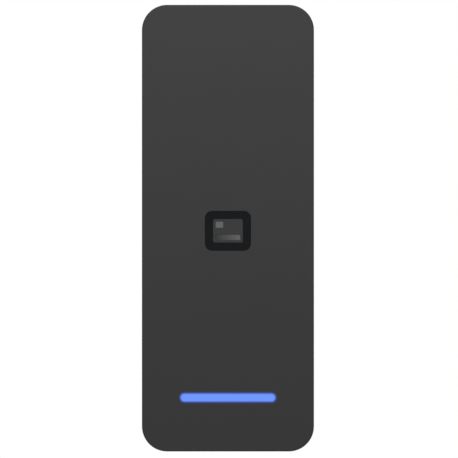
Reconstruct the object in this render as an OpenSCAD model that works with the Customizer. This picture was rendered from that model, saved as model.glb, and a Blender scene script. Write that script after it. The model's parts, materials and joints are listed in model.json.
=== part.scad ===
// Wall-mounted card reader: a sealed plastic reader hanging on a stamped steel wall bracket.
// X is width, Y is depth with the wall at Y = 0 and the front face towards -Y, Z is up.
// Lengths are in millimetres.

/* [Cover] */
// Width of the front cover
body_w = 52; // [51:0.5:55]
// Height of the front cover
body_h = 135; // [134:0.5:140]
// Distance from the wall to the front face
reader_d = 19.5; // [19.3:0.1:20.5]
// Radius of the cover's four corners
corner_r = 7.6; // [7:0.1:9]
// Round along the front edge
edge_r = 0.5; // [0.3:0.1:1]
// Side wall thickness of the cover
wall_t = 2; // [1.8:0.1:2.2]
// Front wall thickness of the cover
front_t = 2.2; // [2:0.1:2.4]
// Gap between the cover's rear edge and the wall
wall_gap = 1.2; // [1:0.1:1.6]

/* [Light bar] */
// Length of the light bar
bar_w = 29; // [26:0.1:30]
// Height of the light bar
bar_h = 2.75; // [2.4:0.05:3.2]
// Height of the light bar's centre above the cover's bottom edge
bar_up = 16.3; // [15.8:0.1:17]
// Number of light-emitting chips behind the bar
led_count = 8; // [4:1:10]

/* [Badge] */
// Width of the card-shaped badge
badge_w = 13.85; // [10:0.05:16]
// Height of the card-shaped badge
badge_h = 12; // [10.5:0.1:13]
// Depth of the badge's recess
badge_t = 0.6; // [0.4:0.1:1]
// Width of the badge's outline
badge_line = 2.4; // [1.6:0.1:2.4]

/* [Wall bracket] */
// Sheet thickness of the bracket
sheet_t = 1.5; // [1.2:0.1:1.5]
// Width of the bracket's plate
bracket_w = 43; // [40:0.5:44]
// Spacing of the two wall holes on the centre line
box_pitch = 83.3; // [80:0.1:86]
// Spacing across the four outer wall holes
corner_pitch_x = 30; // [28:0.5:32]
// Spacing up the four outer wall holes
corner_pitch_z = 104; // [100:0.5:105]
// Width of the hook
hook_w = 18; // [14:1:19]

/* [Electronics] */
// Width of the main board
board_w = 43; // [42:0.5:43]
// Thickness of the main board
board_t = 1.2; // [1:0.1:1.6]
// Number of turns in the antenna coil
coil_turns = 5; // [3:1:6]

/* [Security screw] */
// Radius of the screw's shank
screw_r = 1.5; // [1.25:0.05:1.5]
// Gap between the washer and the bracket's foot
screw_gap = 0.3; // [0.3:0.05:0.6]

/* [Hidden] */
$fn = 48;

top_z = body_h / 2;
front_y = -reader_d;
front_in = front_y + front_t;

// badge and light bar stack
badge_z = -0.8;
badge_in = badge_line + 0.8;
bar_z = bar_up - top_z;
lens_back = front_in + 0.9;
led_y = -11;

// boards and antenna
film_t = 0.2;
coil_y = front_in + film_t;
board_y0 = front_in + 2.5;
board_y1 = board_y0 + board_t;
board_h = 97;
board_z = 5.5;
board_posts = [[-18, 50], [18, 50], [-18, -39.5], [18, -39.5]];

// rear tray
tray_gap = 0.2;
tray_wall = 1.8;
tray_w = body_w - 2 * wall_t - 2 * tray_gap;
tray_h = body_h - 2 * wall_t - 2 * tray_gap;
tray_r = corner_r - wall_t - tray_gap;
tray_back = -2;
tray_floor = -3.6;
tray_rim = board_y1 + 1.2;
groove_y0 = tray_rim + 0.8;
groove_y1 = groove_y0 + 1;
post_y = -6;
tray_posts = [[-17.6, top_z - 8.4], [17.6, top_z - 8.4], [-19.2, 8], [19.2, 8],
  [-17.6, 8.4 - top_z], [17.6, 8.4 - top_z]];

// cable bay and network jack
bay_w = 18.4;
bay_z0 = -36;
bay_z1 = 14.4;
bay_y = board_y1 + 1;
jack_w = 16;
jack_back = -2.6;

// hook, pivot bar and foot
bend_r = 0.5;
pivot_y = -5;
pivot_z = top_z - 4.45;
pivot_r = 1;
hook_floor = pivot_z - pivot_r - 0.15;
lip_in = pivot_y - pivot_r - 0.15;
hook_front = lip_in - sheet_t;
foot_z = 6 - top_z;
foot_front = -9;
plate_top = hook_floor - 2.9;
plate_bottom = foot_z + 4.5;

// security screw and its pocket
screw_y = -6;
washer_t = 0.6;
head_r = 2.8;
head_t = 2.4;
washer_top = foot_z - screw_gap;
head_top = washer_top - washer_t;
pocket_top = foot_z + 2;
pocket_bottom = tray_wall + wall_t + tray_gap - top_z;

// buttons, pressure vent and label on the rear
tamper_at = [18.2, -28];
reset_at = [-17.5, -28];
vent_at = [16, 30];
label_at = [-4.5, 29];

// rounded rectangle, centred
module rounded(w, h, r) {
  square([w, h - 2 * r], center = true);
  square([w - 2 * r, h], center = true);
  for (x = [-1, 1], z = [-1, 1]) translate([x * (w / 2 - r), z * (h / 2 - r)]) circle(r);
}

// rounded plate facing the front, from y0 back to y1
module slab(w, h, r, y0, y1, at = [0, 0]) {
  translate([at[0], y1, at[1]]) rotate([90, 0, 0]) linear_extrude(y1 - y0) rounded(w, h, r);
}

// square-cornered block between two corners
module block(lo, hi) {
  translate(lo) cube(hi - lo);
}

// block centred on a point of the board's face, from y0 back to y1
module chip(w, h, y0, y1, at) {
  block([at[0] - w / 2, y0, at[1] - h / 2], [at[0] + w / 2, y1, at[1] + h / 2]);
}

// round bar along Y, from y0 back to y1
module rod(r, y0, y1, at) {
  translate([at[0], y1, at[1]]) rotate([90, 0, 0]) cylinder(r = r, h = y1 - y0);
}

// round bar along Z at the security screw's centre line
module post(r, z0, z1) {
  translate([0, screw_y, z0]) cylinder(r = r, h = z1 - z0);
}

// extrudes a Y-Z outline across X, centred
module across(w) {
  translate([-w / 2, 0, 0]) rotate([90, 0, 90]) linear_extrude(w) children();
}

// quarter bend of the bracket's sheet around a centre
module bend(y, z, turn) {
  translate([y, z]) rotate(turn) intersection() {
    difference() {
      circle(bend_r + sheet_t);
      circle(bend_r);
    }
    square(bend_r + sheet_t);
  }
}

// depth outline of the cover's wall with the rounded front edge, from x = 0 out to w
module edge_outline(w, d) {
  square([w - edge_r, d]);
  square([w, d - edge_r]);
  translate([w - edge_r, d - edge_r]) circle(edge_r);
}

// the cover's outer shape: two crossing slabs and four rounded corners
module cover_outside() {
  d = reader_d - wall_gap;
  across_w = body_w - 2 * corner_r;
  up_h = body_h - 2 * corner_r;
  translate([0, -wall_gap, 0]) {
    translate([0, 0, -up_h / 2]) linear_extrude(up_h)
      for (side = [0, 1]) mirror([side, 0]) mirror([0, 1]) edge_outline(body_w / 2, d);
    translate([-across_w / 2, 0, 0]) rotate([0, 90, 0]) linear_extrude(across_w)
      for (side = [0, 1]) mirror([side, 0]) mirror([0, 1]) edge_outline(body_h / 2, d);
    for (x = [-1, 1], z = [-1, 1])
      translate([x * across_w / 2, 0, z * up_h / 2]) rotate([90, 0, 0])
        rotate_extrude(angle = 90, start = x > 0 ? (z > 0 ? 0 : 270) : (z > 0 ? 90 : 180))
          edge_outline(corner_r, d);
  }
}

// stamped and bent steel wall plate with hook, cable window and foot
module wall_bracket() {
  plate_h = plate_top - plate_bottom;
  plate_mid = (plate_top + plate_bottom) / 2;
  color("silver") difference() {
    union() {
      slab(bracket_w, plate_h, 4, -sheet_t, 0, [0, plate_mid]);
      across(hook_w) {
        turn_z = hook_floor - sheet_t - bend_r;
        translate([-sheet_t, plate_top - 6]) square([sheet_t, turn_z - plate_top + 6]);
        bend(-sheet_t - bend_r, turn_z, 0);
        translate([lip_in + bend_r, hook_floor - sheet_t])
          square([-sheet_t - lip_in - 2 * bend_r, sheet_t]);
        bend(lip_in + bend_r, hook_floor + bend_r, 180);
        translate([hook_front, hook_floor + bend_r]) square([sheet_t, 1.8]);
        translate([hook_front + sheet_t / 2, hook_floor + bend_r + 1.8]) circle(sheet_t / 2);
      }
      across(13) {
        turn_z = foot_z + sheet_t + bend_r;
        translate([-sheet_t, turn_z]) square([sheet_t, plate_bottom + 6 - turn_z]);
        bend(-sheet_t - bend_r, turn_z, 270);
        translate([foot_front, foot_z]) square([-sheet_t - bend_r - foot_front, sheet_t]);
      }
    }
    slab(22, 53, 3, -sheet_t - 1, 1, [0, -10.5]);
    for (z = [-1, 1]) wall_hole(2.2, [0, z * box_pitch / 2]);
    for (x = [-1, 1], z = [-1, 1])
      wall_hole(2, [x * corner_pitch_x / 2, z * corner_pitch_z / 2]);
    rod(2.6, -sheet_t - 1, 1, reset_at);
    post(screw_r + 0.5, foot_z - 1, foot_z + sheet_t + 1);
    block([-screw_r - 0.5, foot_front - 1, foot_z - 1], [screw_r + 0.5, screw_y, foot_z + sheet_t + 1]);
  }
}

// countersunk hole for a wall screw
module wall_hole(r, at) {
  rod(r, -sheet_t - 1, 1, at);
  translate([at[0], -sheet_t, at[1]]) rotate([-90, 0, 0])
    cylinder(r1 = r + 0.9, r2 = r, h = 0.7);
}

// deep one-piece front cover with the light slot, badge recesses and screw bosses
module front_cover() {
  color("#414243") difference() {
    union() {
      difference() {
        cover_outside();
        slab(body_w - 2 * wall_t, body_h - 2 * wall_t, corner_r - wall_t, front_in, 0);
      }
      for (p = tray_posts) rod(abs(p[1]) < 20 ? 2.5 : 2.7, front_in - 0.5, post_y - 0.05, p);
      for (p = board_posts) rod(2.3, front_in - 0.5, board_y0, p);
    }
    slab(bar_w, bar_h, bar_h / 2 - 0.12, front_y - 1, front_in + 1, [0, bar_z]);
    badge_frame_shape(0.04, front_y - 1);
    badge_stripe_shape(0.04, front_y - 1);
    badge_chip_shape(0.04, front_y - 1);
    for (p = tray_posts) rod(1.25, front_in + 1.5, post_y + 1, p);
    for (p = board_posts) rod(0.85, front_in, board_y0 + 1, p);
    post(3.3, -top_z - 1, -top_z + wall_t + 1);
  }
}

// card outline of the badge, grown by g and starting at y0
module badge_frame_shape(g, y0) {
  difference() {
    slab(badge_w + 2 * g, badge_h + 2 * g, 2.2, y0, front_y + badge_t, [0, badge_z]);
    slab(badge_w - 2 * badge_line - 2 * g, badge_h - 2 * badge_line - 2 * g, 0.6, y0 - 1,
      front_y + badge_t + 1, [0, badge_z]);
  }
}

// stripe inside the badge
module badge_stripe_shape(g, y0) {
  slab(badge_w - 2 * badge_in + 2 * g, 1.6 + 2 * g, 0.4, y0, front_y + badge_t,
    [0, badge_z + badge_in + 0.8 - badge_h / 2]);
}

// small chip mark inside the badge
module badge_chip_shape(g, y0) {
  slab(2.3 + 2 * g, 1.9 + 2 * g, 0.4, y0, front_y + badge_t,
    [badge_in + 1.15 - badge_w / 2, badge_z - badge_in - 0.95 + badge_h / 2]);
}

// gloss card outline set flush in the cover
module badge_frame() {
  color("#1a1b1d") badge_frame_shape(0, front_y);
}

// grey stripe set flush in the cover
module badge_stripe() {
  color("#5a5c5c") badge_stripe_shape(0, front_y);
}

// grey chip mark set flush in the cover
module badge_chip() {
  color("#646664") badge_chip_shape(0, front_y);
}

// clear light bar with a flange behind the cover's front wall
module light_bar_lens() {
  color("#7099ff") {
    slab(bar_w - 0.1, bar_h - 0.1, bar_h / 2 - 0.17, front_y, front_in + 0.4, [0, bar_z]);
    slab(bar_w + 2, bar_h + 2, 1, front_in, lens_back, [0, bar_z]);
  }
}

// white reflector that carries the light board
module light_box() {
  color("white") {
    difference() {
      union() {
        slab(bar_w + 2.6, 6, 1, lens_back, led_y, [0, bar_z]);
        slab(32, 10, 1, led_y - 1, led_y, [0, bar_z]);
      }
      slab(bar_w - 1.6, bar_h - 0.4, 0.9, lens_back - 1, led_y - 2.5, [0, bar_z]);
      slab(bar_w - 0.6, bar_h + 0.6, 0.9, led_y - 2.6, led_y + 1, [0, bar_z]);
    }
    for (x = [-1, 1], z = [-1, 1])
      rod(0.7, led_y - 0.5, led_y + 1.5, [x * 13, bar_z + z * 4]);
  }
}

// small board behind the light bar
module led_board() {
  color("#e8e8e0") difference() {
    slab(32, 10, 1, led_y, led_y + 1, [0, bar_z]);
    for (x = [-1, 1], z = [-1, 1]) rod(0.8, led_y - 1, led_y + 2, [x * 13, bar_z + z * 4]);
  }
}

// row of light-emitting chips
module led_chips() {
  step = (bar_w - 5) / (led_count - 1);
  color("#fff6c8") for (i = [0:led_count - 1]) {
    at = [(i - (led_count - 1) / 2) * step, bar_z];
    difference() {
      chip(1.6, 1.5, led_y - 0.8, led_y, at);
      rod(0.55, led_y - 1, led_y - 0.6, at);
    }
  }
}

// socket on the light board's rear face
module led_socket() {
  color("#f0ead8") difference() {
    chip(8, 3, led_y + 1, led_y + 2.2, [8, bar_z + 2.2]);
    chip(6.6, 2, led_y + 1.3, led_y + 1.9, [8, bar_z + 3.2]);
  }
}

// flexible strip joining the two boards
module led_flex() {
  y0 = board_y1 + 0.6;
  y1 = led_y + 1.5;
  z0 = board_z - board_h / 2 + 1.6;
  z1 = bar_z + 2.6;
  color("#b5752a") translate([8, 0, 0]) across(6) polygon([[y0, z0], [y0, z0 - 1.4], [y1, z0 - 4.4],
    [y1, z1], [y1 + 0.2, z1], [y1 + 0.2, z0 - 4.3], [y0 + 0.2, z0 - 1.3], [y0 + 0.2, z0]]);
}

// thin film that carries the antenna, with a tail for the contacts
module antenna_film() {
  color("#c47a2c") {
    slab(32, 72, 2, front_in, coil_y, [0, 10]);
    chip(11, 6, front_in, coil_y, [0, -28]);
  }
}

// flat rectangular spiral of the antenna with its two pads
module antenna_coil() {
  pitch = 1.3;
  track = 0.7;
  y0 = coil_y;
  y1 = coil_y + 0.1;
  color("#d98a4a") {
    for (i = [0:coil_turns - 1]) {
      w = 15.2 - i * pitch;
      h = 33.5 - i * pitch;
      block([-w, y0, 11 + h - track], [w, y1, 11 + h]);
      block([w - track, y0, 11 - h], [w, y1, 11 + h]);
      block([pitch - w, y0, 11 - h], [w, y1, 11 - h + track]);
      block([pitch - w, y0, 11 - h], [pitch - w + track, y1, 11 + h - pitch]);
    }
    block([-15.2, y0, -25], [track - 15.2, y1, 44.5]);
    block([-15.2, y0, -25], [-2, y1, track - 25]);
    block([-4, y0, -30.4], [-2, y1, -24.5]);
    block([2, y0, -30.4], [4, y1, -26.5]);
  }
}

// sheet that shields the antenna from the electronics
module ferrite_sheet() {
  color("#2b2b2e") slab(31.6, 71.6, 2, coil_y + 0.1, coil_y + 0.4, [0, 10]);
}

// two sprung contacts between the antenna's tail and the board
module antenna_contacts() {
  color("#d9b25a") for (x = [-3, 3]) {
    block([x - 0.9, coil_y + 1.2, -30.4], [x + 0.9, board_y0, -27]);
    rod(0.45, coil_y + 0.1, coil_y + 1.3, [x, -28.7]);
  }
}

// main board with clearances for the cover's bosses
module main_board() {
  color("#14603a") difference() {
    slab(board_w, board_h, 1.5, board_y0, board_y1, [0, board_z]);
    for (p = board_posts) rod(1.1, board_y0 - 1, board_y1 + 1, p);
    for (x = [-1, 1]) {
      rod(2.9, board_y0 - 1, board_y1 + 1, [x * 19.2, 8]);
      chip(5.8, 5.8, board_y0 - 1, board_y1 + 1, [x * 22.1, 8]);
    }
  }
}

// pressed can over the short-range radio
module radio_shield() {
  color("#c9ccd0") difference() {
    chip(9.6, 14, board_y1, board_y1 + 2, [-15.9, -10]);
    chip(9.2, 13.6, board_y1 - 1, board_y1 + 1.8, [-15.9, -10]);
    for (x = [-2, 0, 2], z = [-4, 0, 4]) rod(0.5, board_y1, board_y1 + 3, [x - 15.9, z - 10]);
  }
}

// main processor
module host_chip() {
  color("#1c1c1f") difference() {
    chip(10, 10, board_y1, board_y1 + 0.9, [0, 41]);
    rod(0.5, board_y1 + 0.8, board_y1 + 1.5, [-3.8, 44.8]);
  }
}

// card interface chip on the antenna side of the board
module card_chip() {
  color("#1c1c1f") difference() {
    chip(5, 5, board_y0 - 0.9, board_y0, [9, -34]);
    rod(0.35, board_y0 - 1.5, board_y0 - 0.8, [7.2, -32.2]);
  }
}

// memory chip
module memory_chip() {
  color("#1c1c1f") difference() {
    chip(6, 8, board_y1, board_y1 + 1.1, [15.6, -12]);
    rod(0.4, board_y1 + 1, board_y1 + 1.5, [13.4, -9]);
  }
}

// quartz crystal in its metal can
module crystal_can() {
  color("#c9ccd0") {
    chip(3.2, 2.5, board_y1, board_y1 + 0.5, [15.6, -3]);
    chip(2.8, 2.1, board_y1 + 0.4, board_y1 + 0.8, [15.6, -3]);
  }
}

// network line transformer
module magnetics() {
  color("#202024") {
    chip(15, 11, board_y1 + 0.4, board_y1 + 5.4, [0, 24.5]);
    for (i = [-3.5:1:3.5], z = [-1, 1]) translate([i * 1.8, 0, 24.5 + z * 6])
      block([-0.25, board_y1, -0.8], [0.25, board_y1 + 0.6, 0.8]);
  }
}

// power inductor
module power_inductor() {
  color("#4a4a4e") {
    slab(12, 12, 2, board_y1 + 0.6, board_y1 + 6, [14, 41]);
    chip(9, 2.6, board_y1, board_y1 + 0.8, [14, 36.4]);
    chip(9, 2.6, board_y1, board_y1 + 0.8, [14, 45.6]);
  }
}

// two smoothing capacitors on their moulded feet
module bulk_capacitors() {
  color("#b8bcc2") for (z = [24, 40]) {
    chip(7, 7, board_y1, board_y1 + 0.9, [-15.5, z]);
    rod(3.15, board_y1 + 0.8, board_y1 + 8, [-15.5, z]);
  }
}

// beeper with its sound hole
module beeper() {
  color("#161618") difference() {
    rod(5.6, board_y1, board_y1 + 5.5, [14.6, 22]);
    rod(1, board_y1 + 4, board_y1 + 6, [14.6, 22]);
  }
}

// socket for the flexible strip
module flex_socket() {
  color("#f0ead8") difference() {
    chip(8, 3.4, board_y1, board_y1 + 1.4, [8, -40.4]);
    chip(6.6, 2.4, board_y1 + 0.35, board_y1 + 1.05, [8, -41.6]);
  }
}

// network socket that faces down into the cable bay
module network_jack() {
  mid = (board_y1 + jack_back) / 2;
  color("#232326") difference() {
    block([-jack_w / 2, board_y1, 0], [jack_w / 2, jack_back, 13.5]);
    block([-5.95, mid - 3.4, -1], [5.95, mid + 3.6, 11.5]);
    block([-3.1, mid - 4.4, -1], [3.1, mid - 3, 9]);
    block([-1.6, board_y1 + 0.5, -1], [1.6, mid - 4, 6]);
  }
}

// eight sprung wires of the network socket
module jack_contacts() {
  y = (board_y1 + jack_back) / 2 + 3.6;
  color("#d9b25a") for (i = [-3.5:1:3.5]) translate([i * 1.016, 0, 0])
    across(0.4) polygon([[y, 11.4], [y, 2], [y - 0.4, 1.6], [y - 2, 7.2], [y - 1.7, 7.4], [y - 0.5, 3.4],
      [y - 0.5, 11.4]]);
}

// rubber frame between the cable bay's walls and the board
module bay_gasket() {
  color("#2a2a2a") difference() {
    slab(bay_w + 2.4, bay_z1 - bay_z0 + 2.4, 2, board_y1, bay_y, [0, (bay_z0 + bay_z1) / 2]);
    slab(bay_w, bay_z1 - bay_z0, 0.8, board_y1 - 1, bay_y + 1, [0, (bay_z0 + bay_z1) / 2]);
  }
}

// switch worked by a push pin, with its own short button
module push_switch(at, button_end) {
  difference() {
    chip(6, 6, board_y1, board_y1 + 2.6, at);
    for (x = [-1, 1], z = [-1, 1]) rod(0.4, board_y1 + 2.4, board_y1 + 3, at + [x, z] * 2.2);
  }
  rod(1.2, board_y1 + 2.4, button_end, at);
}

// switch that opens when the reader leaves the wall
module tamper_switch() {
  color("#26262a") push_switch(tamper_at, board_y1 + 3.35);
}

// switch behind the reset button
module reset_switch() {
  color("#26262a") push_switch(reset_at, board_y1 + 3.6);
}

// short screw that holds the main board
module board_screw(i) {
  p = board_posts[i];
  color("#a8abb0") difference() {
    union() {
      rod(1.9, board_y1, board_y1 + 1.3, p);
      rod(0.8, front_in + 0.2, board_y1 + 0.5, p);
    }
    for (a = [0, 90]) translate([p[0], board_y1 + 1, p[1]]) rotate([0, a, 0])
      cube([2.2, 0.8, 0.45], center = true);
  }
}
module board_screw_1() { board_screw(0); }
module board_screw_2() { board_screw(1); }
module board_screw_3() { board_screw(2); }
module board_screw_4() { board_screw(3); }

// rear tray that closes the cover and hangs on the bracket's hook
module rear_tray() {
  bay_mid = (bay_z0 + bay_z1) / 2;
  bay_len = bay_z1 - bay_z0;
  hook_pocket = hook_w / 2 + 1.5;
  color("#333435") difference() {
    union() {
      difference() {
        slab(tray_w, tray_h, tray_r, tray_rim, tray_back);
        slab(tray_w - 2 * tray_wall, tray_h - 2 * tray_wall, tray_r - tray_wall, tray_rim - 1, tray_floor);
      }
      slab(bay_w + 2.4, bay_len + 2.4, 2, bay_y, tray_floor + 0.4, [0, bay_mid]);
      block([-hook_pocket - 1.5, -10.4, pivot_z - 6.65], [hook_pocket + 1.5, tray_floor + 0.4, top_z - 3]);
      block([-10.4, -11.2, -top_z + 3], [10.4, tray_floor + 0.4, pocket_top + 1.2]);
      post(3.4, pocket_top + 1, pocket_top + 8.4);
      for (p = tray_posts) rod(3, post_y, tray_floor + 0.4, p);
      for (p = [tamper_at, reset_at]) rod(2.6, -7.6, tray_floor + 0.4, p);
    }
    difference() {
      slab(tray_w + 4, tray_h + 4, tray_r + 2, groove_y0, groove_y1);
      slab(tray_w - 1.8, tray_h - 1.8, tray_r - 0.9, groove_y0 - 1, groove_y1 + 1);
    }
    slab(bay_w, bay_len, 0.8, tray_rim - 1, 0, [0, bay_mid]);
    block([-hook_pocket, -9.2, pivot_z - 5.45], [hook_pocket, 0, top_z]);
    block([-9, -10, pocket_bottom], [9, 0, pocket_top]);
    post(3.3, -top_z, pocket_top - 1);
    post(2.3, pocket_top - 1, pocket_top + 5.5);
    post(1.8, pocket_top + 5, pocket_top + 7.6);
    for (p = tray_posts) {
      rod(1.4, post_y - 1, 0, p);
      rod(2.6, -4.2, 0, p);
    }
    for (p = [tamper_at, reset_at]) rod(1.6, -9, 0, p);
    rod(1.2, -5, 0, vent_at);
    rod(4.6, tray_back - 0.4, 0, vent_at);
  }
  color("#333435") translate([-hook_pocket - 0.7, pivot_y, pivot_z]) rotate([0, 90, 0])
    cylinder(r = pivot_r, h = 2 * hook_pocket + 1.4);
}

// rubber ring around the tray's rim
module rim_gasket() {
  w = body_w - 2 * wall_t - 0.06;
  h = body_h - 2 * wall_t - 0.06;
  color("#5b2f2f") difference() {
    slab(w, h, corner_r - wall_t - 0.03, groove_y0 + 0.05, groove_y1 - 0.05);
    slab(tray_w - 1.7, tray_h - 1.7, tray_r - 0.85, groove_y0 - 1, groove_y1 + 1);
  }
}

// breathable disc over the pressure vent
module vent_membrane() {
  color("#e6e6e2") difference() {
    rod(4.5, tray_back - 0.38, tray_back - 0.08, vent_at);
    rod(2.2, tray_back - 0.2, tray_back, vent_at);
  }
}

// blank label
module blank_label() {
  color("#d8d8d2") slab(26, 12, 1, tray_back, tray_back + 0.12, label_at);
}

// screw through the tray into the cover
module tray_screw(i) {
  p = tray_posts[i];
  color("#a8abb0") difference() {
    union() {
      rod(2.3, -4.15, -2.45, p);
      rod(1.2, front_in + 2, -3.5, p);
    }
    for (a = [0, 90]) translate([p[0], -2.8, p[1]]) rotate([0, a, 0])
      cube([2.6, 1.4, 0.55], center = true);
  }
}
module tray_screw_1() { tray_screw(0); }
module tray_screw_2() { tray_screw(1); }
module tray_screw_3() { tray_screw(2); }
module tray_screw_4() { tray_screw(3); }
module tray_screw_5() { tray_screw(4); }
module tray_screw_6() { tray_screw(5); }

// brass thread for the security screw
module insert_nut() {
  color("#c9a24a") difference() {
    union() {
      post(2.28, pocket_top, pocket_top + 2.2);
      post(2.1, pocket_top + 2, pocket_top + 3.2);
      post(2.28, pocket_top + 3, pocket_top + 5.4);
    }
    post(screw_r + 0.06, pocket_top - 1, pocket_top + 6);
  }
}

// captive screw that locks the reader to the bracket's foot
module security_screw() {
  color("#b9bcc0") {
    difference() {
      union() {
        post(head_r, head_top - head_t, head_top);
        post(screw_r, head_top - 0.5, pocket_top + 6.4);
      }
      translate([0, screw_y, head_top - head_t - 1]) cylinder(r = 1.2, h = 2.4, $fn = 6);
    }
    post(0.4, head_top - head_t + 0.2, head_top - 0.8);
  }
}

// washer under the security screw's head
module screw_washer() {
  color("#8e9196") difference() {
    post(3, head_top, washer_top);
    post(screw_r + 0.08, head_top - 1, washer_top + 1);
  }
}

// pin that feels whether the bracket is behind the reader
module tamper_plunger() {
  color("#e0ddd2") {
    rod(1.5, -10, -sheet_t - 0.3, tamper_at);
    rod(1.1, -2, -sheet_t - 0.06, tamper_at);
    rod(2.2, board_y1 + 3.4, -9.15, tamper_at);
  }
}

// recessed reset button
module reset_button() {
  color("#c23b2e") {
    difference() {
      rod(1.5, -9, -2.3, reset_at);
      rod(0.8, -2.6, -1, reset_at);
    }
    rod(2.2, board_y1 + 4.2, -7.75, reset_at);
  }
}

wall_bracket();
front_cover();
badge_frame();
badge_stripe();
badge_chip();
light_bar_lens();
light_box();
led_board();
led_chips();
led_flex();
led_socket();
antenna_film();
antenna_coil();
ferrite_sheet();
antenna_contacts();
main_board();
radio_shield();
host_chip();
card_chip();
memory_chip();
crystal_can();
magnetics();
power_inductor();
bulk_capacitors();
beeper();
flex_socket();
network_jack();
jack_contacts();
bay_gasket();
tamper_switch();
reset_switch();
board_screw_1();
board_screw_2();
board_screw_3();
board_screw_4();
rear_tray();
rim_gasket();
vent_membrane();
blank_label();
tray_screw_1();
tray_screw_2();
tray_screw_3();
tray_screw_4();
tray_screw_5();
tray_screw_6();
insert_nut();
security_screw();
screw_washer();
tamper_plunger();
reset_button();
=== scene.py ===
import json
import math
import random

import bmesh
import bpy
from mathutils import Matrix, Vector


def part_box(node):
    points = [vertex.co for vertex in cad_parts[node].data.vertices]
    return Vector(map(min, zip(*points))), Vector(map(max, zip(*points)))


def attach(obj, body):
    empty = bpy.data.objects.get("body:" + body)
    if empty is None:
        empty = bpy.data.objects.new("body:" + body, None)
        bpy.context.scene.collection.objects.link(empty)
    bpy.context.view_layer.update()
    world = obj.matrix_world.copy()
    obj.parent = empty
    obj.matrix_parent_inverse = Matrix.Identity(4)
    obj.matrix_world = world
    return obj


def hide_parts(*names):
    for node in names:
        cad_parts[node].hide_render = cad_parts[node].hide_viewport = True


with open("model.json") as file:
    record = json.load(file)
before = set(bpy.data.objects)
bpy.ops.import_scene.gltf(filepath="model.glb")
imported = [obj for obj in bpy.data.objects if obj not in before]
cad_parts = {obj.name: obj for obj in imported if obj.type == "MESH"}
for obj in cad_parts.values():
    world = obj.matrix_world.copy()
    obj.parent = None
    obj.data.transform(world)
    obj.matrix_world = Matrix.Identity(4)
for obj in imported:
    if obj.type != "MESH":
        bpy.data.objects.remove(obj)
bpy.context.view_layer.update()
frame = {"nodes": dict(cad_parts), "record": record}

MM = 0.001
nodes = frame["nodes"]
subparts = frame["record"]["subparts"]


# ---------------------------------------------------------------- boxes of the CAD nodes
def lo_hi(name):
    """The node's lowest and highest corner."""
    low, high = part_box(name)
    return Vector(low), Vector(high)


def middle(name):
    low, high = lo_hi(name)
    return (low + high) / 2


def wall_holes():
    """Centres (x, z) of the bracket's wall holes."""
    holes = []
    for mount in frame["record"]["mounts"]:
        if mount["kind"] == "bolt_pattern":
            across = mount["dims"].get("spacing_x_mm", 0) / 2
            up = mount["dims"]["spacing_y_mm"] / 2
            holes += [(x * MM, z * MM) for x in sorted({-across, across}) for z in (-up, up)]
    return holes


COVER_LO = lo_hi("front_cover")[0]
FACE_Y = COVER_LO.y
BOARD_FRONT, BOARD_BACK = lo_hi("main_board")[0].y, lo_hi("main_board")[1].y
TRAY_BACK = lo_hi("rear_tray")[1].y
BAY_LOW, BAY_HIGH = lo_hi("bay_gasket")

# The light bar that shows is the lens without the flange behind the cover.
BAR_MID = middle("light_bar_lens")
BAR_FLANGE = 1.05 * MM
BAR_SIZE = lo_hi("light_bar_lens")[1] - lo_hi("light_bar_lens")[0]
BAR_HALF = BAR_SIZE / 2 - Vector((BAR_FLANGE, 0, BAR_FLANGE))
GLOW_REACH = 0.65 * MM

# Half height, track spacing and number of the antenna's turns.
COIL_HALF_H, COIL_PITCH, COIL_TURNS = 33.5 * MM, 1.3 * MM, 5

# The part of the board's rear, in the cable bay, that the line protectors and test pads fill.
LINE_HALF_W, LINE_LOW, LINE_HIGH = 5.6 * MM, -31 * MM, -6 * MM


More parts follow.
